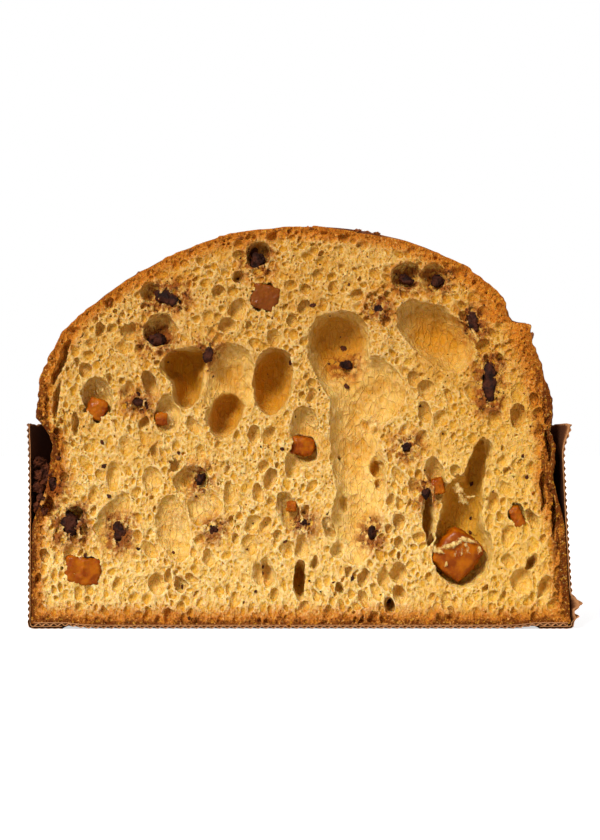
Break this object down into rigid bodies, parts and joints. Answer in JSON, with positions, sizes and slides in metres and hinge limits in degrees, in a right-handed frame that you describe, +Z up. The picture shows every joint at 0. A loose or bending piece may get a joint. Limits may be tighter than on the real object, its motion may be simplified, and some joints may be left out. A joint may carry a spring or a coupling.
{
  "type": "panettone half",
  "caption": "Half of a low domed sweet loaf, cut straight down, with candied orange and chocolate in an open crumb, standing in its corrugated paper baking case.",
  "frame": {"origin": "on the surface that it stands on, under the middle of the half's outline", "axes": "+X along the cut face, +Y from the cut face to the round back, +Z up; the cut face looks along -Y"},
  "size_m": [0.2054, 0.1028, 0.151],
  "materials": {
    "bread": "matte",
    "case_paper": "matte",
    "candied_orange": "gloss",
    "dark_chocolate": "satin"
  },
  "bodies": {
    "root": {"loaf": "bread", "case_wall": "case_paper", "case_base": "case_paper", "candied_orange_1": "candied_orange", "candied_orange_2": "candied_orange", "candied_orange_3": "candied_orange", "candied_orange_4": "candied_orange", "candied_orange_5": "candied_orange", "candied_orange_6": "candied_orange", "candied_orange_7": "candied_orange", "candied_orange_8": "candied_orange", "candied_orange_9": "candied_orange", "chocolate_01": "dark_chocolate", "chocolate_02": "dark_chocolate", "chocolate_03": "dark_chocolate", "chocolate_04": "dark_chocolate", "chocolate_05": "dark_chocolate", "chocolate_06": "dark_chocolate", "chocolate_07": "dark_chocolate", "chocolate_08": "dark_chocolate", "chocolate_09": "dark_chocolate", "chocolate_10": "dark_chocolate", "chocolate_11": "dark_chocolate", "chocolate_12": "dark_chocolate", "chocolate_13": "dark_chocolate", "chocolate_14": "dark_chocolate", "chocolate_15": "dark_chocolate", "chocolate_16": "dark_chocolate", "chocolate_17": "dark_chocolate", "chocolate_18": "dark_chocolate", "chocolate_19": "dark_chocolate", "chocolate_20": "dark_chocolate"}
  },
  "joints": []
}
